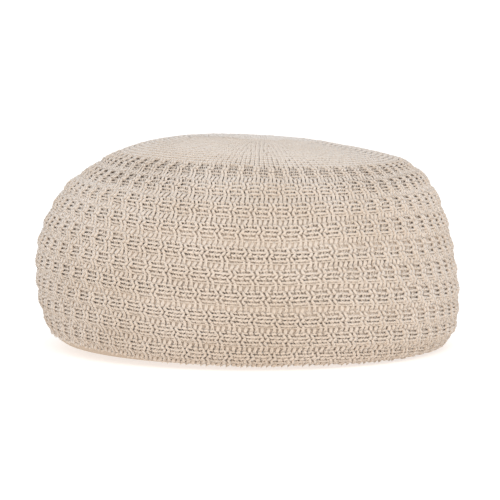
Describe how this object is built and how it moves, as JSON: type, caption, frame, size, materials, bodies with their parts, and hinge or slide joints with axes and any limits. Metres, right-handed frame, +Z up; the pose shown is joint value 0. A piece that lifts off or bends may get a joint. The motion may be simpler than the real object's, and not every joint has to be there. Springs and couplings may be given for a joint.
{
  "type": "round knitted pouf",
  "caption": "Low round floor pouf in beige basket-stitch knit, with a soft domed crown gathered at its centre, leaning a little on a flattened base.",
  "frame": {"origin": "on the floor, under the middle of the pouf's bounding box", "axes": "+Z up, through the crown; +X to the side that the pouf leans towards; the picture looks along +Y"},
  "size_m": [0.5508, 0.552, 0.2744],
  "materials": {
    "beige_knit": "matte, chunky cotton yarn"
  },
  "bodies": {
    "root": {"knit_cover": "beige_knit"}
  },
  "joints": []
}
